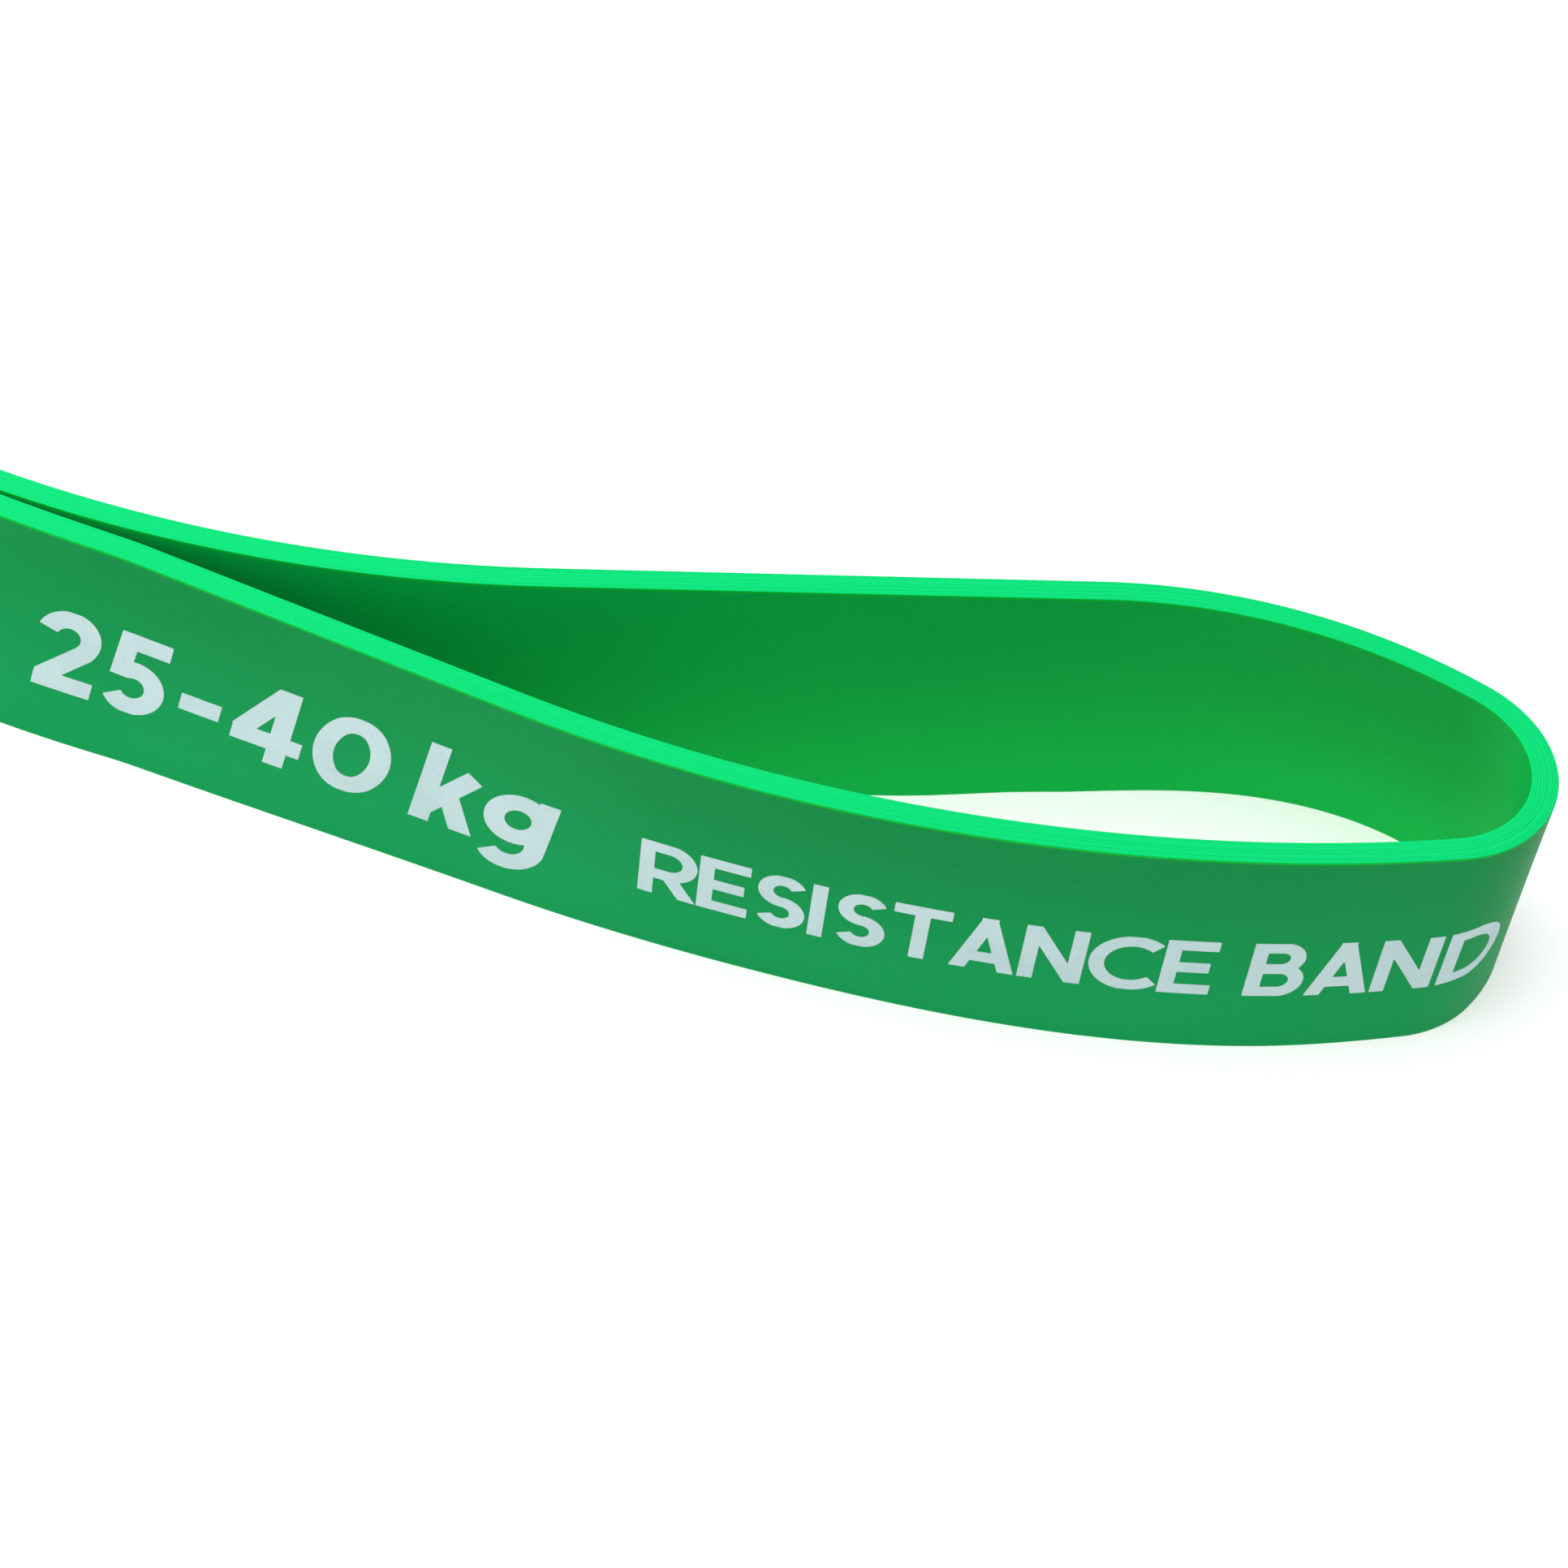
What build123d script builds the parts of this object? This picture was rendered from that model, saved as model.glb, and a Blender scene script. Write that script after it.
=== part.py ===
from build123d import *
import math
import os

# A layered latex loop band standing on its edge. Both ends open into a loop
# for a hand, a foot or a bar, and between them the two strands lie side by
# side. Lengths are in millimetres and angles in degrees.
band_width = 45.0
ply_thickness = 0.5
ply_count = 9
loop_length = 2080.0      # once round the band, along the middle of its thickness
strand_gap = 0.6          # between the two strands where they lie side by side
half_clearance = 0.4      # between the two halves, at the middle of the band's length

# The bends of one end loop, in the order that the band passes them. Each is
# the radius to the middle of the band's thickness and the turn, left positive.
flare_radius, flare_turn = 415.0, 5.0
ease_radius, ease_turn = 100.0, -4.0
belly_radius, belly_turn = 262.0, 34.0
nose_radius, nose_turn = 20.0, 133.0
back_radius, back_turn = 93.0, 41.0
waist_radius = 210.0

band_thickness = ply_count * ply_thickness
strand_pitch = band_thickness + strand_gap

# The last bend brings the strand back parallel to the first one.
waist_turn = 180 - (flare_turn + ease_turn + belly_turn + nose_turn + back_turn)


def bend(radius, turn):
    """An arc of the route: its length along the middle and its turn."""
    return (math.radians(abs(turn)) * radius, turn)


def straight(length):
    """A straight run of the route."""
    return (length, 0.0)


def advance(x, y, heading, length, turn):
    """Return the place and heading at the end of one run or bend."""
    if turn == 0:
        angle = math.radians(heading)
        return x + length * math.cos(angle), y + length * math.sin(angle), heading
    chord = 2 * length / math.radians(turn) * math.sin(math.radians(turn) / 2)
    angle = math.radians(heading + turn / 2)
    return x + chord * math.cos(angle), y + chord * math.sin(angle), heading + turn


def travel(route):
    """Return how far a route moves along X and Y when it sets off along +X."""
    x, y, heading = 0.0, 0.0, 0.0
    for length, turn in route:
        x, y, heading = advance(x, y, heading, length, turn)
    return x, y


def end_loop():
    """The route of one end loop. Its two straight runs are as long as it
    takes for the loop to end beside its start, one strand pitch away."""
    before = [bend(flare_radius, flare_turn), bend(ease_radius, ease_turn)]
    round_nose = [
        bend(belly_radius, belly_turn),
        bend(nose_radius, nose_turn),
        bend(back_radius, back_turn),
    ]
    after = [bend(waist_radius, waist_turn)]
    gap_x, gap_y = travel(before + round_nose + after)
    front_heading = math.radians(flare_turn + ease_turn)
    back_heading = math.radians(180 - waist_turn)
    cross = math.sin(back_heading - front_heading)
    need_x, need_y = -gap_x, strand_pitch - gap_y
    front_run = (need_x * math.sin(back_heading) - need_y * math.cos(back_heading)) / cross
    back_run = (need_y * math.cos(front_heading) - need_x * math.sin(front_heading)) / cross
    return before + [straight(front_run)] + round_nose + [straight(back_run)] + after


def half_route():
    """The route of half the band: out along one strand, round an end loop and
    back along the other, leaving the clearance between the halves."""
    loop = end_loop()
    side_run = (loop_length / 2 - sum(length for length, turn in loop)) / 2
    side_run = straight(side_run - half_clearance / 2)
    return [side_run] + loop + [side_run]


def offset_edges(route, offset):
    """The route as lines and arcs, moved sideways by the offset, outwards positive."""
    x, y, heading = half_clearance / 2, -strand_pitch / 2, 0.0

    def moved(x, y, heading):
        angle = math.radians(heading - 90)
        return (x + offset * math.cos(angle), y + offset * math.sin(angle))

    edges = []
    for length, turn in route:
        middle = advance(x, y, heading, length / 2, turn / 2)
        end = advance(x, y, heading, length, turn)
        if turn == 0:
            edges.append(Line(moved(x, y, heading), moved(*end)))
        else:
            edges.append(ThreePointArc(moved(x, y, heading), moved(*middle), moved(*end)))
        x, y, heading = end
    return edges


def half_ply(route, number):
    """One ply of one half: ply 1 is the innermost."""
    inner = -band_thickness / 2 + (number - 1) * ply_thickness
    inside = offset_edges(route, inner)
    outside = offset_edges(route, inner + ply_thickness)
    start = Line(inside[0] @ 0, outside[0] @ 0)
    finish = Line(inside[-1] @ 1, outside[-1] @ 1)
    outline = make_face(inside + [finish] + outside + [start])
    return extrude(outline, amount=band_width, dir=(0, 0, 1))


def main():
    os.makedirs("parts", exist_ok=True)
    route = half_route()
    for number in range(1, ply_count + 1):
        pulled = half_ply(route, number)
        anchored = pulled.rotate(Axis.Z, 180)
        export_step(pulled, f"parts/ply_{number}_pulled.step")
        export_step(anchored, f"parts/ply_{number}_anchored.step")
    print("runs and bends:", [(round(length, 2), turn) for length, turn in route])


main()
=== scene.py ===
import math

import bpy
import numpy as np
from mathutils import Matrix, Vector


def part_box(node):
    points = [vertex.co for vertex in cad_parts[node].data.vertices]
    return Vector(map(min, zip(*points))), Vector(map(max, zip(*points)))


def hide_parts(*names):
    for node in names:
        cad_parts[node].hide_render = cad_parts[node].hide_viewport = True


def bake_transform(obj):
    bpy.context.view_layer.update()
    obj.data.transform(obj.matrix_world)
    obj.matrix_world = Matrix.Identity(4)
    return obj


bl_info = {
    "name": "Latex Loop Band",
    "version": (1, 0, 0),
    "blender": (4, 5, 0),
    "location": "3D View > Sidebar > Loop Band",
    "description": "Builds a wound latex loop band with its cut edges and printed rating",
    "category": "Object",
}

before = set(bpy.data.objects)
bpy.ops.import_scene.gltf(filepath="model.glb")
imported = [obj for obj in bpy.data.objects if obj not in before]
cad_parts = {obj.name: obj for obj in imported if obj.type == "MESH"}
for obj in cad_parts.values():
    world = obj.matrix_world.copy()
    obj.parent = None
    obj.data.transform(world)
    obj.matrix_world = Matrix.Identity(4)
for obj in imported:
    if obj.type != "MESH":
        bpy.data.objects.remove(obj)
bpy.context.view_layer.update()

# Sizes read from the frame: ply 1 is the innermost, and the band stands on Z = 0.
PLY_COUNT = sum(name.endswith("_pulled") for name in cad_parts)
BAND_LOW, BAND_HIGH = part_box("ply_1_pulled")
BAND_WIDTH = BAND_HIGH[2] - BAND_LOW[2]
PLY_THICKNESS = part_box("ply_2_pulled")[1][0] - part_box("ply_1_pulled")[1][0]
BAND_THICKNESS = PLY_COUNT * PLY_THICKNESS

# The bends of one end loop in the order that the band passes them: the radius
# to the middle of the thickness in metres, and the turn in degrees, left positive.
FLARE, EASE = (0.415, 5), (0.100, -4)
BELLY, NOSE, BACK = (0.262, 34), (0.020, 133), (0.093, 41)
WAIST = (0.210, -29)

# How far the lower edge stands out from under the upper one at places along
# one half: (place along the band from its middle, lean outwards), in metres.
LEAN_STOPS = (
    (0.000, 0.0),
    (0.231, 0.0045),
    (0.384, -0.0022),
    (0.468, 0.0005),
    (0.510, -0.0007),
    (0.550, 0.0068),
    (0.613, -0.0023),
    (0.640, -0.0038),
    (0.809, -0.0045),
    (1.040, 0.0),
)


# ---------------------------------------------------------------- shader maths


def plain(value):
    """The socket or number inside a value of shader maths."""
    return value.socket if isinstance(value, Sock) else value


class Sock:
    """A node socket that ordinary arithmetic can be written on."""

    def __init__(self, tree, socket):
        self.tree = tree
        self.socket = socket

    def maths(self, operation, *values):
        return node(self.tree, "ShaderNodeMath", {"operation": operation}, values)

    def __add__(self, other):
        return self.maths("ADD", self, other)

    def __sub__(self, other):
        return self.maths("SUBTRACT", self, other)

    def __rsub__(self, other):
        return self.maths("SUBTRACT", other, self)

    def __mul__(self, other):
        return self.maths("MULTIPLY", self, other)

    __radd__ = __add__
    __rmul__ = __mul__

    def between(self, low, high):
        """0 up to low, 1 from high on, and a smooth step between them."""
        settings = {"interpolation_type": "SMOOTHSTEP"}
        values = {"Value": self, "From Min": low, "From Max": high}
        return node(self.tree, "ShaderNodeMapRange", settings, values)


def node(tree, kind, settings=None, values=(), output=0):
    """Add a node, set it up, fill its sockets by place or by name, and return one output."""
    made = tree.nodes.new(kind)
    for name, value in (settings or {}).items():
        setattr(made, name, value)
    pairs = values.items() if isinstance(values, dict) else enumerate(values)
    for key, value in pairs:
        value = plain(value)
        if isinstance(value, bpy.types.NodeSocket):
            tree.links.new(value, made.inputs[key])
        else:
            made.inputs[key].default_value = value
    return Sock(tree, made.outputs[output])


# The places of a colour Mix node's sockets, several of which share a name.
MIX_SHARE, MIX_FIRST, MIX_SECOND, MIX_RESULT = 0, 6, 7, 2


def mix_colours(tree, share, first, second):
    """The first colour where share is 0, the second where it is 1."""
    values = {MIX_SHARE: share, MIX_FIRST: first, MIX_SECOND: second}
    return node(tree, "ShaderNodeMix", {"data_type": "RGBA"}, values, MIX_RESULT)


def noise(tree, place, scale, detail):
    """Cloudy values from 0 to 1."""
    return node(tree, "ShaderNodeTexNoise", {}, {"Vector": place, "Scale": scale, "Detail": detail})


def stretched(tree, place, factors):
    """Coordinates multiplied along each axis, so that a pattern runs long and thin."""
    return node(tree, "ShaderNodeVectorMath", {"operation": "MULTIPLY"}, (place, factors))


# Which output of a coordinate, attribute or separating node holds the wanted value.
OBJECT_PLACE, ATTRIBUTE_NUMBER, HEIGHT = 3, 2, 2


def point_number(tree, name):
    """A number that the mesh stores at its points."""
    settings = {"attribute_name": name}
    return node(tree, "ShaderNodeAttribute", settings, output=ATTRIBUTE_NUMBER)


def surface(name):
    """A new material's node tree and its shader, with everything else cleared."""
    material = bpy.data.materials.new(name)
    material.use_nodes = True
    tree = material.node_tree
    return material, tree, tree.nodes["Principled BSDF"]


def raised(tree, relief, strength, depth):
    """A normal that leans as if relief, from 0 to 1, stood up to depth in metres."""
    return node(tree, "ShaderNodeBump", {}, {"Height": relief, "Strength": strength, "Distance": depth})


def feed(tree, shader, **sockets):
    """Link values to the shader's sockets, which are named with underscores for spaces."""
    for name, value in sockets.items():
        tree.links.new(plain(value), shader.inputs[name.replace("_", " ")])


def latex_material(colours):
    """Wound latex. The moulded faces are a deep satin green with faint clouds and
    hairlines, and are painted lighter towards their lower edge as painted bounce light from the floor.
    The cut edges are painted brighter, a painted glow for the light that comes out of
    the rubber there, with long streaks from ply to ply, and a thin painted glow line of
    clear yellow-green marks the top corner between the two."""
    material, tree, shader = surface("wound_latex")
    place = node(tree, "ShaderNodeTexCoord", output=OBJECT_PLACE)
    wrap = node(tree, "ShaderNodeUVMap", {"uv_map": "band"})
    height = node(tree, "ShaderNodeSeparateXYZ", {}, (place,), output=HEIGHT)
    cut = point_number(tree, "cut_edge_painted_glow")
    inside = point_number(tree, "inner_face")
    tone = point_number(tree, "ply_tone")

    clouds = noise(tree, place, scale=22.0, detail=4.0)
    grain = noise(tree, place, scale=1400.0, detail=2.0)
    hairlines = noise(tree, stretched(tree, wrap, (6.0, 900.0, 1.0)), scale=1.0, detail=3.0)
    streaks = noise(tree, stretched(tree, wrap, (14.0, 5200.0, 1.0)), scale=1.0, detail=2.0)

    face = mix_colours(tree, inside, colours.outer_face, colours.inner_face)
    deep = mix_colours(tree, inside, colours.outer_shade, colours.inner_shade)
    face = mix_colours(tree, clouds.between(0.30, 0.70) * 0.45, face, deep)
    # Painted bounce light: both faces are painted lighter towards their lower edge, for the light that
    # the floor throws up at them.
    rise = height.between(0.0, BAND_WIDTH)
    low = mix_colours(tree, inside, colours.outer_painted_bounce, colours.inner_painted_bounce)
    face = mix_colours(tree, (1.0 - rise) * 0.65, face, low)
    dust = grain.between(0.58, 0.80) * 0.05 + hairlines.between(0.62, 0.78) * 0.05
    face = mix_colours(tree, dust, face, colours.bloom)

    # Painted glow: the cut edges get a much brighter green, which stands in for light that comes out of
    # the rubber at the cut. The streaks from ply to ply on it are the plies' own tone.
    streaky = tone * 0.55 + streaks.between(0.35, 0.65) * 0.35
    edge = mix_colours(tree, streaky, colours.cut_edge_painted_glow, colours.cut_streak_painted_glow)
    colour = mix_colours(tree, cut, face, edge)
    # Painted glow: a thin clear yellow-green line on the faces just under the top corner, which stands
    # in for light that comes through the rubber near the top edge.
    line_start, line_end = BAND_WIDTH - 0.0007, BAND_WIDTH - 0.0001
    top_painted_glow = height.between(line_start, line_end)
    colour = mix_colours(tree, top_painted_glow * (1.0 - cut), colour, colours.corner_painted_glow)

    rough = 0.46 + 0.10 * clouds + 0.14 * cut - 0.06 * hairlines.between(0.55, 0.75)
    relief = clouds * 0.35 + grain * 0.22 + hairlines * 0.25 * (1.0 - cut) + streaks * 0.5 * cut
    bump = raised(tree, relief, strength=0.30, depth=0.00012)
    feed(tree, shader, Base_Color=colour, Roughness=rough, Normal=bump)
    shader.inputs["Specular IOR Level"].default_value = 0.07
    return material


def ink_material(colours):
    """Pale screen-printed ink: matt, a little thin in places, with fine specks."""
    material, tree, shader = surface("print_ink")
    place = node(tree, "ShaderNodeTexCoord", output=OBJECT_PLACE)
    patches = noise(tree, place, scale=90.0, detail=4.0)
    specks = noise(tree, place, scale=1900.0, detail=2.0)
    colour = mix_colours(tree, patches.between(0.35, 0.75) * 0.6, colours.ink, colours.ink_thin)
    colour = mix_colours(tree, specks.between(0.66, 0.76) * 0.35, colour, colours.outer_face)
    bump = raised(tree, patches * 0.3 + specks, strength=0.2, depth=0.00005)
    feed(tree, shader, Base_Color=colour, Roughness=0.55 + 0.2 * patches, Normal=bump)
    shader.inputs["Specular IOR Level"].default_value = 0.25
    return material


# ---------------------------------------------------------------- the band's route


def advance(x, y, heading, length, turn):
    """The place and heading after an arc of that length and turn, or after a
    straight run where the turn is 0. An arc's chord is its length times the
    sine of half its turn over half its turn, at half its turn."""
    half = np.radians(turn) / 2
    chord = length * np.sinc(half / np.pi)
    angle = np.radians(heading) + half
    return x + chord * np.cos(angle), y + chord * np.sin(angle), heading + turn


def travel(route):
    """How far a route of (length, turn) goes when it sets off along +X."""
    x = y = heading = 0.0
    for length, turn in route:
        x, y, heading = advance(x, y, heading, length, turn)
    return x, y


def half_route(sizes):
    """(length, turn) of each stretch of one half. The two straight runs of the
    end loop close it one strand pitch from its start: two unknown lengths from
    two equations, along X and along Y."""
    def bend(radius, turn):
        return (abs(math.radians(turn)) * radius, turn)

    before, after = [bend(*FLARE), bend(*EASE)], [bend(*WAIST)]
    round_nose = [bend(*BELLY), bend(*NOSE), bend(*BACK)]
    front = math.radians(FLARE[1] + EASE[1])
    back = math.radians(180 - WAIST[1])
    reach_x, reach_y = travel(before + round_nose + after)
    pitch = BAND_THICKNESS + sizes.strand_gap
    directions = [[math.cos(front), math.cos(back)], [math.sin(front), math.sin(back)]]
    front_run, back_run = np.linalg.solve(directions, [-reach_x, pitch - reach_y])
    loop = before + [(front_run, 0)] + round_nose + [(back_run, 0)] + after
    side = (sizes.loop_length / 2 - sum(length for length, turn in loop)) / 2
    return [(side, 0)] + loop + [(side, 0)]


def lean_at(place):
    """How far the lower edge leans outwards: a smooth step from stop to stop."""
    stops = np.array(LEAN_STOPS)
    index = np.clip(np.searchsorted(stops[:, 0], place, side="right") - 1, 0, len(stops) - 2)
    share = (place - stops[index, 0]) / (stops[index + 1, 0] - stops[index, 0])
    share = np.clip(share, 0, 1)
    share = share * share * (3 - 2 * share)
    return stops[index, 1] + (stops[index + 1, 1] - stops[index, 1]) * share


def locate(sizes, place):
    """x, y and heading of the band's middle line at each place along one half,
    counted from the middle of the band's length, by walking the route's
    stretches and using advance within the one that holds the place."""
    x, y, heading = 0.0, -(BAND_THICKNESS + sizes.strand_gap) / 2, 0.0
    found = np.zeros((3, len(place)))
    start = 0.0
    for length, turn in half_route(sizes):
        here = place >= start - 1e-9
        share = np.clip((place[here] - start) / length, 0, 1)
        found[:, here] = advance(x, y, heading, length * share, turn * share)
        x, y, heading = advance(x, y, heading, length, turn)
        start += length
    return found


def band_points(sizes, place, out, height):
    """Points of the band: place is metres along one half, out is metres
    outwards from the middle of the thickness, and height is above the floor.
    Each point is the middle line plus the outward normal times out and lean."""
    x, y, heading = locate(sizes, place)
    angle = np.radians(heading - 90)
    shift = out + lean_at(place) * (1 - height / BAND_WIDTH)
    return np.stack([x + shift * np.cos(angle), y + shift * np.sin(angle), height], axis=-1)


# The farthest that two sections of the band stand apart, in metres and degrees.
STRAIGHT_STEP, BEND_STEP, TURN_STEP = 0.005, 0.002, 1.5


def stations(sizes):
    """Places along one half where the band gets a section, evenly spaced within
    each stretch by the largest step that it allows."""
    places, start = [], 0.0
    for length, turn in half_route(sizes):
        step = STRAIGHT_STEP if turn == 0 else BEND_STEP
        count = max(math.ceil(length / step), math.ceil(abs(turn) / TURN_STEP))
        places.append(start + np.arange(count) * length / count)
        start += length
    return np.concatenate(places)


# ---------------------------------------------------------------- the plies


# How many periods of each sine of a wave go once round the band, and the seeds
# that every ply's number is added to.
WAVE_PERIODS = (3, 7, 13, 29, 61)
EDGE_SEED, TONE_SEED = 100, 300


def wave(place, length, seed):
    """A smooth closed wave along the band, from about -1 to 1: a sum of sines
    with whole numbers of periods, so that it meets itself, each lower by the
    square root of its number."""
    draw = np.random.default_rng(seed)
    total = np.zeros_like(place)
    for count in WAVE_PERIODS:
        start = draw.uniform(0, 2 * np.pi)
        size = math.sqrt(WAVE_PERIODS[0] / count)
        total += size * np.sin(2 * np.pi * count * place / length + start)
    return total / 2


# Heights of the section's points on a face, in shares of the band's width.
FACE_LEVELS = np.array([0.0008, 0.004, 0.012, 0.0225, 0.033, 0.041, 0.0442]) / 0.045
CORNER_POINTS = 6


def ply_profile(number, sizes):
    """The section of a ply as (outwards, height, edge share): four rounded
    corners joined by its two faces and two cut edges. The corners on the
    band's own surfaces are rounder than those between two plies."""
    inner = -BAND_THICKNESS / 2 + (number - 1) * PLY_THICKNESS
    outer = inner + PLY_THICKNESS
    out_radius = sizes.corner_radius if number == PLY_COUNT else sizes.groove
    in_radius = sizes.corner_radius if number == 1 else sizes.groove
    quarter = np.radians(np.linspace(0, 90, CORNER_POINTS))
    top, low = BAND_WIDTH, 0.0

    def corner(centre_x, centre_z, radius, start):
        angle = quarter + math.radians(start)
        return np.stack([centre_x + radius * np.cos(angle), centre_z + radius * np.sin(angle)], axis=-1)

    levels = FACE_LEVELS * BAND_WIDTH
    parts = [
        np.stack([np.full(len(levels), outer), levels], axis=-1),
        corner(outer - out_radius, top - out_radius, out_radius, 0),
        corner(inner + in_radius, top - in_radius, in_radius, 90),
        np.stack([np.full(len(levels), inner), levels[::-1]], axis=-1),
        corner(inner + in_radius, low + in_radius, in_radius, 180),
        corner(outer - out_radius, low + out_radius, out_radius, 270),
    ]
    ramp = np.linspace(0, 1, len(quarter)) ** 0.5
    face = np.zeros(len(levels))
    shares = [face, ramp, ramp[::-1], face, ramp, ramp[::-1]]
    return np.concatenate(parts), np.concatenate(shares)


def point_values(mesh, name, values):
    """Store one number per vertex under a name that materials can read."""
    attribute = mesh.attributes.new(name, "FLOAT", "POINT")
    attribute.data.foreach_set("value", np.asarray(values, np.float32).ravel())


def wound_ply(number, sizes, material):
    """One ply as a closed ring: its section carried along the half route, and
    the same again turned half round the origin. A small wave in the cut
    edges' height and in the corners makes each ply show beside the next."""
    section, share = ply_profile(number, sizes)
    half = stations(sizes)
    length = sizes.loop_length
    along = np.concatenate([half, half + length / 2])
    turned = along >= length / 2
    place = np.where(turned, along - length / 2, along)
    rows, columns = len(along), len(section)

    out = np.broadcast_to(section[:, 0], (rows, columns))
    height = np.broadcast_to(section[:, 1], (rows, columns))
    uneven = sizes.edge_wave * wave(along, length, EDGE_SEED + number)[:, None] * share[None] ** 4
    height = height + np.where(height > BAND_WIDTH / 2, uneven, 0)
    every = np.repeat(place, columns)
    points = band_points(sizes, every, out.ravel(), height.ravel())
    points[np.repeat(turned, columns), :2] *= -1

    row, column = np.meshgrid(np.arange(rows), np.arange(columns), indexing="ij")
    next_row, next_column = (row + 1) % rows, (column + 1) % columns
    faces = [row * columns + column, next_row * columns + column,
             next_row * columns + next_column, row * columns + next_column]
    faces = np.stack(faces, axis=-1).reshape(-1, 4)

    mesh = bpy.data.meshes.new(f"ply_{number}_sheet")
    mesh.from_pydata(points.tolist(), [], faces.tolist())
    mesh.polygons.foreach_set("use_smooth", np.ones(len(faces), bool))

    spread = np.concatenate([along, [length]])
    girth = np.concatenate([[0], np.cumsum(np.hypot(*np.diff(section, axis=0).T))])
    girth = np.concatenate([girth, [girth[-1] + np.hypot(*(section[0] - section[-1]))]])
    u = np.stack([spread[row], spread[row + 1], spread[row + 1], spread[row]], axis=-1)
    v = np.stack([girth[column], girth[column], girth[column + 1], girth[column + 1]], axis=-1)
    wrap = mesh.uv_layers.new(name="band")
    wrap.data.foreach_set("uv", np.stack([u, v], axis=-1).astype(np.float32).ravel())

    tone = 0.5 + 0.35 * wave(along, length, TONE_SEED + number)
    tone = tone + 0.25 * (-1) ** number
    point_values(mesh, "ply_tone", np.clip(np.repeat(tone, columns), 0, 1))
    # The share of the cut edge at each point of the section. The material uses it for the painted edge
    # glow and for the edge's roughness and relief.
    point_values(mesh, "cut_edge_painted_glow", np.tile(share, rows))
    inner_side = section[:, 0] < section[:, 0].mean()
    point_values(mesh, "inner_face", np.tile(inner_side.astype(float), rows))

    piece = bpy.data.objects.new(f"ply_{number}", mesh)
    bpy.context.collection.objects.link(piece)
    mesh.materials.append(material)
    mesh.validate()
    mesh.update()
    return piece


def stretch_along(piece):
    """Bake the piece's placement into its mesh."""
    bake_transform(piece)


# ---------------------------------------------------------------- the print


def bar(x, y, weight, start, end):
    """Distance outside a straight stroke with square ends: how far a point lies
    along it and beside it, past its half length and half weight."""
    start, end = np.array(start, float), np.array(end, float)
    length = np.hypot(*(end - start))
    along_x, along_y = (end - start) / length
    far_x, far_y = x - (start[0] + end[0]) / 2, y - (start[1] + end[1]) / 2
    past_end = np.abs(far_x * along_x + far_y * along_y) - length / 2
    past_side = np.abs(far_y * along_x - far_x * along_y) - weight / 2
    outside = np.hypot(np.maximum(past_end, 0), np.maximum(past_side, 0))
    return outside + np.minimum(np.maximum(past_end, past_side), 0)


def bow(x, y, weight, centre, radius, first, last):
    """Distance outside a round stroke: from its ring, limited to the angles
    from first to last by the two lines through its square ends."""
    far_x, far_y = x - centre[0], y - centre[1]
    ring = np.abs(np.hypot(far_x, far_y) - radius) - weight / 2
    if last - first >= 360:
        return ring
    first, last = math.radians(first), math.radians(last)
    before = far_x * math.sin(first) - far_y * math.cos(first)
    after = far_y * math.cos(last) - far_x * math.sin(last)
    ends = np.maximum(before, after) if last - first <= math.pi else np.minimum(before, after)
    return np.maximum(ring, ends)


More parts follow.
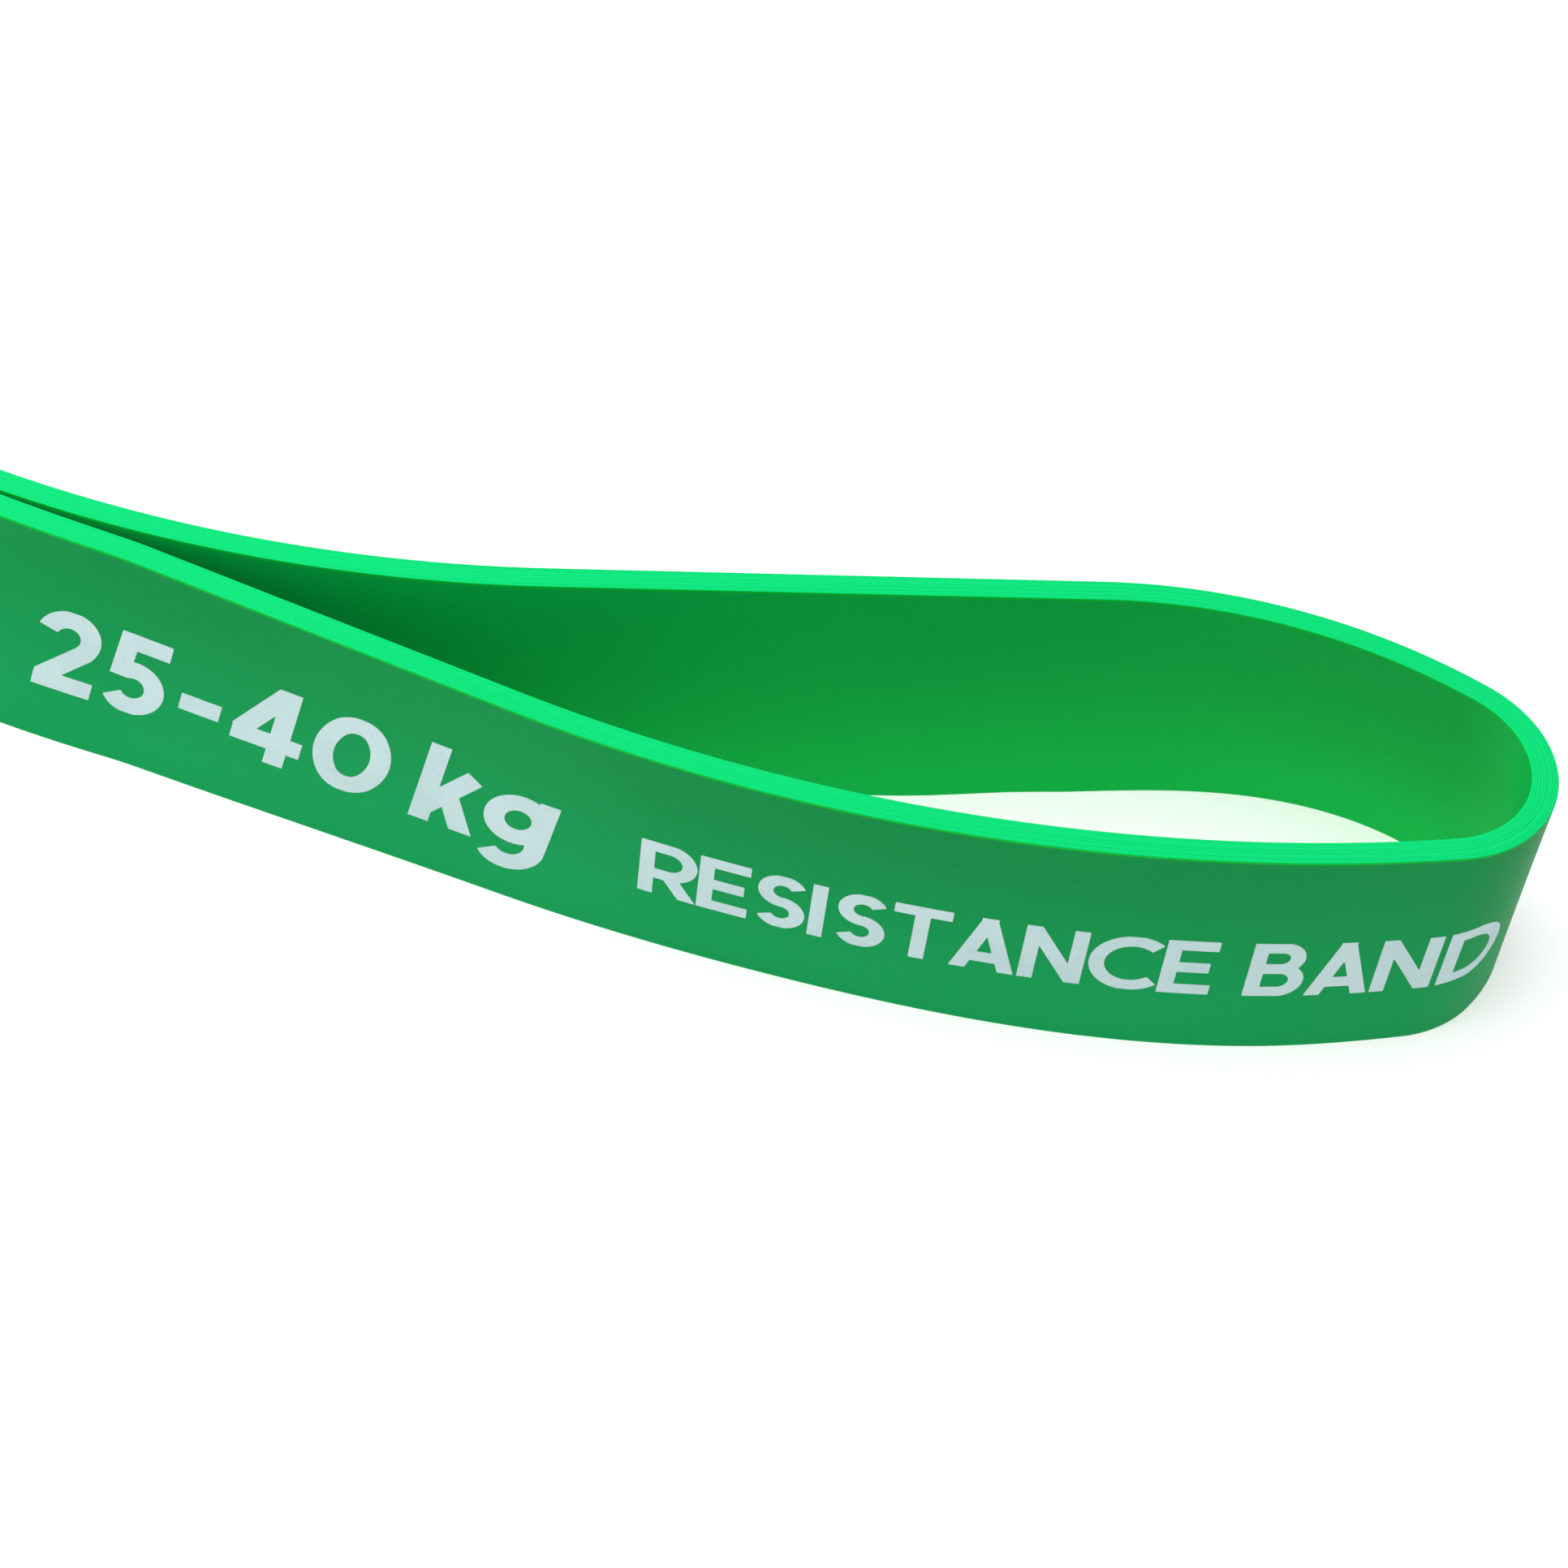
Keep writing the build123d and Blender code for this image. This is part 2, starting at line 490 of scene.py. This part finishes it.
# Each letter is its advance, its lowest and highest point, and its strokes, in
# shares of a capital's height. A stroke of two points is a bar and one with a
# centre, a radius and two angles is a bow.
STEM = ((0.085, 0.0), (0.085, 1.0))
LETTERS = {
    "2": (0.74, 0, 1, ((0.32, 0.68), 0.225, -42, 165), ((0.52, 0.56), (0.14, 0.13)),
          ((0.06, 0.095), (0.66, 0.095))),
    "5": (0.765, 0, 1, ((0.10, 0.905), (0.62, 0.905)), ((0.185, 1.0), (0.155, 0.44)),
          ((0.32, 0.325), 0.23, -148, 116)),
    "-": (0.57, 0, 1, ((0.05, 0.40), (0.47, 0.40))),
    "4": (0.855, 0, 1, ((0.53, 0.0), (0.53, 1.0)), ((0.54, 1.04), (0.12, 0.32)),
          ((0.043, 0.29), (0.76, 0.29))),
    "0": (0.75, 0, 1, ((0.39, 0.665), 0.235, 33, 147), ((0.39, 0.335), 0.235, 213, 327),
          ((0.143, 0.5), 0.532, -34, 34), ((0.637, 0.5), 0.532, 146, 214)),
    "k": (0.68, 0, 1.06, ((0.095, 0.0), (0.095, 1.06)), ((0.10, 0.17), (0.50, 0.78)),
          ((0.31, 0.43), (0.55, -0.05))),
    "g": (0.74, -0.4, 0.80, ((0.33, 0.455), 0.235, 0, 360), ((0.575, 0.79), (0.575, 0.09)),
          ((0.33, 0.09), 0.245, 218, 360)),
    "R": (0.74, 0, 1, STEM, ((0.085, 0.915), (0.37, 0.915)), ((0.085, 0.40), (0.37, 0.40)),
          ((0.36, 0.6575), 0.2575, -90, 90), ((0.33, 0.44), (0.65, -0.06))),
    "E": (0.70, 0, 1, STEM, ((0.085, 0.915), (0.62, 0.915)), ((0.085, 0.50), (0.56, 0.50)),
          ((0.085, 0.085), (0.62, 0.085))),
    "S": (0.68, 0, 1, ((0.32, 0.7075), 0.2075, 25, 270), ((0.32, 0.2925), 0.2075, -155, 90)),
    "I": (0.30, 0, 1, STEM),
    "T": (0.76, 0, 1, ((0.0, 0.915), (0.70, 0.915)), ((0.35, 0.0), (0.35, 0.95))),
    "A": (0.82, 0, 1, ((0.07, -0.05), (0.40, 1.03)), ((0.36, 1.03), (0.69, -0.05)),
          ((0.20, 0.25), (0.56, 0.25))),
    "N": (0.84, 0, 1, STEM, ((0.655, 0.0), (0.655, 1.0)), ((0.09, 0.97), (0.65, 0.03))),
    "C": (0.84, 0, 1, ((0.46, 0.5), 0.415, 47, 313)),
    "B": (0.76, 0, 1, STEM, ((0.085, 0.915), (0.37, 0.915)), ((0.085, 0.522), (0.38, 0.522)),
          ((0.085, 0.085), (0.39, 0.085)), ((0.36, 0.7185), 0.1965, -90, 90),
          ((0.38, 0.3035), 0.2185, -90, 90)),
    "D": (0.84, 0, 1, STEM, ((0.085, 0.915), (0.32, 0.915)), ((0.085, 0.085), (0.32, 0.085)),
          ((0.31, 0.5), 0.415, -90, 90)),
    " ": (0.34, 0, 1),
}

# Farther than any point of a line of letters is from its strokes.
FAR = 9.0


def letter_distance(x, y, letter, weight):
    """Distance outside a letter: outside the nearest of its strokes, cut off at
    its lowest and highest point."""
    advance_width, lowest, highest, *strokes = LETTERS[letter]
    nearest = np.full(x.shape, FAR)
    for stroke in strokes:
        shape = bar if len(stroke) == 2 else bow
        nearest = np.minimum(nearest, shape(x, y, weight, *stroke))
    return np.maximum(nearest, np.maximum(lowest - y, y - highest))


def word_distance(x, y, words, weight):
    """Distance outside a line of letters, set side by side by their advances."""
    nearest = np.full(x.shape, FAR)
    start = 0.0
    for letter in words:
        nearest = np.minimum(nearest, letter_distance(x - start, y, letter, weight))
        start += LETTERS[letter][0]
    return nearest


# The name and words of each print, then its start along the band from the
# middle, its baseline's height, a capital's height and the line's length, all
# in metres, and its strokes' weight and its slant in shares of a height.
PRINTS = (
    ("rating_print", "25-40 kg", 0.2532, 0.0118, 0.0180, 0.0955, 0.205, 0.20),
    ("name_print", "RESISTANCE BAND", 0.3655, 0.0130, 0.0128, 0.1440, 0.185, 0.0),
)

# The last letter's advance holds this much empty space, the grid goes this far
# past the words, below and above them, and slopes are taken over this step.
LAST_SPACE, MARGIN, GRID_LOW, GRID_HIGH, SLOPE_STEP = 0.06, 0.02, -0.45, 1.1, 1e-4
RIM_MOVES = 3
LEAST_SLOPE = 0.25


def printed_words(name, words, start, baseline, height, length, weight, slant, sizes, material):
    """Ink on the outer face. A fine grid lies over the words and keeps the cells
    whose middle is inside a letter. The points at their rim move onto the
    outline, by their distance along its slope. Upper points shift forwards by
    slant times their height. The sheet bends with the band, and gets the
    ink's thickness from a second layer and a wall at the rim."""
    natural = sum(LETTERS[letter][0] for letter in words) - LAST_SPACE
    wide = length / natural
    step = sizes.ink_grid
    across = np.arange(-MARGIN, natural + MARGIN, step / wide)
    up = np.arange(GRID_LOW, GRID_HIGH, step / height)
    x, y = np.meshgrid(across, up, indexing="ij")

    def distance(x, y):
        return word_distance(x, y, words, weight)

    middle_x = (x[:-1, :-1] + x[1:, 1:]) / 2
    middle_y = (y[:-1, :-1] + y[1:, 1:]) / 2
    kept = distance(middle_x, middle_y) < 0
    padded = np.pad(kept, 1)
    around = [padded[:-1, :-1], padded[1:, :-1], padded[:-1, 1:], padded[1:, 1:]]
    rim = np.any(around, axis=0) & ~np.all(around, axis=0)
    small = SLOPE_STEP
    for _ in range(RIM_MOVES):
        gap = distance(x, y)
        slope_x = (distance(x + small, y) - distance(x - small, y)) / (2 * small)
        slope_y = (distance(x, y + small) - distance(x, y - small)) / (2 * small)
        size = np.maximum(slope_x ** 2 + slope_y ** 2, LEAST_SLOPE)
        x = np.where(rim, x - gap * slope_x / size, x)
        y = np.where(rim, y - gap * slope_y / size, y)

    count_x, count_y = x.shape
    rise = y.ravel() * height
    place = start + x.ravel() * wide + rise * slant
    rise = baseline + rise
    skin = BAND_THICKNESS / 2
    upper = band_points(sizes, place, np.full(place.shape, skin + sizes.ink_thickness), rise)
    lower = band_points(sizes, place, np.full(place.shape, skin - sizes.ink_thickness), rise)
    column, row = np.nonzero(kept)
    first = column * count_y + row
    total = count_x * count_y
    top_faces = np.stack([first, first + count_y, first + count_y + 1, first + 1], axis=-1)
    faces = [top_faces, top_faces[:, ::-1] + total]
    sides = (
        (padded[:-2, 1:-1], 0, 1), (padded[2:, 1:-1], count_y + 1, count_y),
        (padded[1:-1, :-2], count_y, 0), (padded[1:-1, 2:], 1, count_y + 1),
    )
    for neighbour, begin, finish in sides:
        column, row = np.nonzero(kept & ~neighbour)
        corner = column * count_y + row
        a, b = corner + begin, corner + finish
        faces.append(np.stack([a, b, b + total, a + total], axis=-1))
    faces = np.concatenate(faces)
    used, faces = np.unique(faces, return_inverse=True)
    points = np.concatenate([upper, lower])[used]
    mesh = bpy.data.meshes.new(name)
    mesh.from_pydata(points.tolist(), [], faces.reshape(-1, 4).tolist())
    mesh.validate()
    mesh.update()
    piece = bpy.data.objects.new(name, mesh)
    bpy.context.collection.objects.link(piece)
    mesh.materials.append(material)
    return piece


# ---------------------------------------------------------------- properties


def size_property(name, description, default):
    return bpy.props.FloatProperty(
        name=name, description=description, default=default, unit="LENGTH", precision=5)


class BandSizes(bpy.types.PropertyGroup):
    """Sizes that a maker of the band would change, in metres."""

    loop_length: size_property("Loop length", "Once round the band", 2.080)
    strand_gap: size_property("Strand gap", "Between the side-by-side strands", 0.0006)
    corner_radius: size_property("Corner radius", "Of the band's own corners", 0.00018)
    groove: size_property("Ply groove", "Rounding between two plies", 0.00004)
    edge_wave: size_property("Edge wave", "Unevenness of the cut edges", 0.00003)
    ink_thickness: size_property("Ink height", "Of the ink above the face, and below it", 0.00006)
    ink_grid: size_property("Ink grid", "Spacing of the print's points", 0.00025)
    stretch_reach: size_property("Stretch reach", "Each way from the middle", 0.45)


def colour_property(name, description, default):
    return bpy.props.FloatVectorProperty(
        name=name, description=description, default=(*default, 1.0),
        subtype="COLOR", size=4, min=0, max=1)


class BandColours(bpy.types.PropertyGroup):
    """Colours of the rubber and the ink, in linear light."""

    outer_face: colour_property("Outer face", "Moulded outer face", (0.0, 0.236, 0.052))
    outer_shade: colour_property("Outer shade", "Its darker clouds", (0.0, 0.205, 0.044))
    inner_face: colour_property("Inner face", "Inner face", (0.0, 0.400, 0.066))
    inner_shade: colour_property("Inner shade", "Its darker clouds", (0.0, 0.340, 0.056))
    # The two low colours are painted bounce light: the faces are painted lighter towards their lower
    # edge, for the light that the floor throws up.
    outer_painted_bounce: colour_property("Outer low", "Outer face towards its lower edge", (0.0, 0.330, 0.092))
    inner_painted_bounce: colour_property("Inner low", "Inner face towards its lower edge", (0.0, 0.560, 0.088))
    bloom: colour_property("Bloom", "Dust and rubber bloom", (0.06, 0.50, 0.24))
    # The cut edge colours are a painted glow: brighter than the faces, for light that comes out of the
    # rubber at the cut. Their streaks are the plies' own tone.
    cut_edge_painted_glow: colour_property("Cut edge", "Where the plies end", (0.0, 0.660, 0.185))
    cut_streak_painted_glow: colour_property("Cut streak", "Its darker streaks", (0.0, 0.605, 0.158))
    # The corner line is a painted glow along the faces just under the top corner.
    corner_painted_glow: colour_property("Corner line", "Clear line at the corners", (0.0, 0.480, 0.012))
    ink: colour_property("Ink", "Printed ink", (0.492, 0.632, 0.641))
    ink_thin: colour_property("Thin ink", "Where the ink is thin", (0.401, 0.561, 0.565))


# ---------------------------------------------------------------- operators


class BAND_OT_plies(bpy.types.Operator):
    """Build every ply of the wound band"""

    bl_idname = "band.plies"
    bl_label = "Wind the plies"

    def execute(self, context):
        sizes, colours = context.scene.band_sizes, context.scene.band_colours
        material = latex_material(colours)
        for number in range(1, PLY_COUNT + 1):
            piece = wound_ply(number, sizes, material)
            stretch_along(piece)
            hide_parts(f"ply_{number}_pulled", f"ply_{number}_anchored")
        return {"FINISHED"}


class BAND_OT_print(bpy.types.Operator):
    """Print the pull rating and the plain name of the object"""

    bl_idname = "band.print"
    bl_label = "Print the words"

    def execute(self, context):
        sizes, colours = context.scene.band_sizes, context.scene.band_colours
        ink = ink_material(colours)
        for name, words, *layout in PRINTS:
            piece = printed_words(name, words, *layout, sizes, ink)
            stretch_along(piece)
        return {"FINISHED"}


def stage_material():
    """Plain pale floor paper."""
    material, tree, shader = surface("floor_paper")
    shader.inputs["Base Color"].default_value = (0.76, 0.76, 0.76, 1)
    shader.inputs["Roughness"].default_value = 0.9
    shader.inputs["Emission Color"].default_value = (1, 1, 1, 1)
    shader.inputs["Emission Strength"].default_value = 0.42
    shader.inputs["Specular IOR Level"].default_value = 0.1
    return material


FLOOR_REACH = 40.0
WORLD_STRENGTH = 0.62

# Each soft light's name, place, size and power, all pointed at the same spot.
LIT_SPOT = (0.37, 0.05, 0.02)
LIGHTS = (
    ("overhead", (-0.10, -0.20, 1.25), 1.3, 14),
    ("front_fill", (-0.2, -1.6, 0.8), 1.4, 3),
    ("strand_side", (-0.75, 0.10, 0.55), 0.8, 3.5),
)

# The camera looks at a spot on the floor from a distance, turned about Z,
# tilted back from straight down and rolled, in degrees.
CAMERA_AIM, CAMERA_DISTANCE = (0.3727, 0.0469, 0.0), 0.633
CAMERA_TURN, CAMERA_TILT, CAMERA_ROLL = 18.3, 90 - 46.1, 8.7
SENSOR_WIDTH, FOCAL_LENGTH = 36.0, 83.1


def area_light(name, place, aim, size, power):
    """A square soft light that points at aim."""
    lamp = bpy.data.lights.new(name, "AREA")
    lamp.shape, lamp.size, lamp.energy = "SQUARE", size, power
    light = bpy.data.objects.new(name, lamp)
    bpy.context.collection.objects.link(light)
    turn = (Vector(aim) - Vector(place)).to_track_quat("-Z", "Y")
    light.matrix_world = Matrix.Translation(place) @ turn.to_matrix().to_4x4()


class BAND_OT_stage(bpy.types.Operator):
    """Lay the floor, hang the lights and set up the camera"""

    bl_idname = "band.stage"
    bl_label = "Set the stage"

    def execute(self, context):
        reach = FLOOR_REACH
        mesh = bpy.data.meshes.new("floor")
        corners = [(-reach, -reach, 0), (reach, -reach, 0), (reach, reach, 0), (-reach, reach, 0)]
        mesh.from_pydata(corners, [], [(0, 1, 2, 3)])
        mesh.materials.append(stage_material())
        floor = bpy.data.objects.new("floor", mesh)
        context.collection.objects.link(floor)

        world = context.scene.world or bpy.data.worlds.new("studio")
        context.scene.world = world
        world.use_nodes = True
        sky = world.node_tree.nodes["Background"]
        sky.inputs["Color"].default_value = (1, 1, 1, 1)
        sky.inputs["Strength"].default_value = WORLD_STRENGTH
        context.scene.view_settings.view_transform = "Standard"
        for name, place, size, power in LIGHTS:
            area_light(name, place, LIT_SPOT, size, power)

        pose = Matrix.Translation(CAMERA_AIM)
        for angle, axis in ((CAMERA_TURN, "Z"), (CAMERA_TILT, "X"), (CAMERA_ROLL, "Z")):
            pose = pose @ Matrix.Rotation(math.radians(angle), 4, axis)
        lens = bpy.data.cameras.new("studio_camera")
        lens.sensor_width = SENSOR_WIDTH
        lens.lens = FOCAL_LENGTH
        lens.clip_start, lens.clip_end = 0.02, 50
        camera = bpy.data.objects.new("studio_camera", lens)
        context.collection.objects.link(camera)
        camera.matrix_world = pose @ Matrix.Translation((0, 0, CAMERA_DISTANCE))
        context.scene.camera = camera
        return {"FINISHED"}


class BAND_PT_panel(bpy.types.Panel):
    """Lists the band's sizes, colours and making steps"""

    bl_idname = "BAND_PT_panel"
    bl_label = "Loop Band"
    bl_space_type = "VIEW_3D"
    bl_region_type = "UI"
    bl_category = "Loop Band"

    def draw(self, context):
        for group in (context.scene.band_sizes, context.scene.band_colours):
            for name in group.__annotations__:
                self.layout.prop(group, name)
        for step in STEPS:
            self.layout.operator(step.bl_idname)


STEPS = (BAND_OT_stage, BAND_OT_plies, BAND_OT_print)
CLASSES = (BandSizes, BandColours, *STEPS, BAND_PT_panel)


def register():
    for kind in CLASSES:
        bpy.utils.register_class(kind)
    bpy.types.Scene.band_sizes = bpy.props.PointerProperty(type=BandSizes)
    bpy.types.Scene.band_colours = bpy.props.PointerProperty(type=BandColours)


def unregister():
    del bpy.types.Scene.band_colours
    del bpy.types.Scene.band_sizes
    for kind in reversed(CLASSES):
        bpy.utils.unregister_class(kind)


def main():
    register()
    bpy.ops.band.stage()
    bpy.ops.band.plies()
    bpy.ops.band.print()


if __name__ == "__main__":
    main()
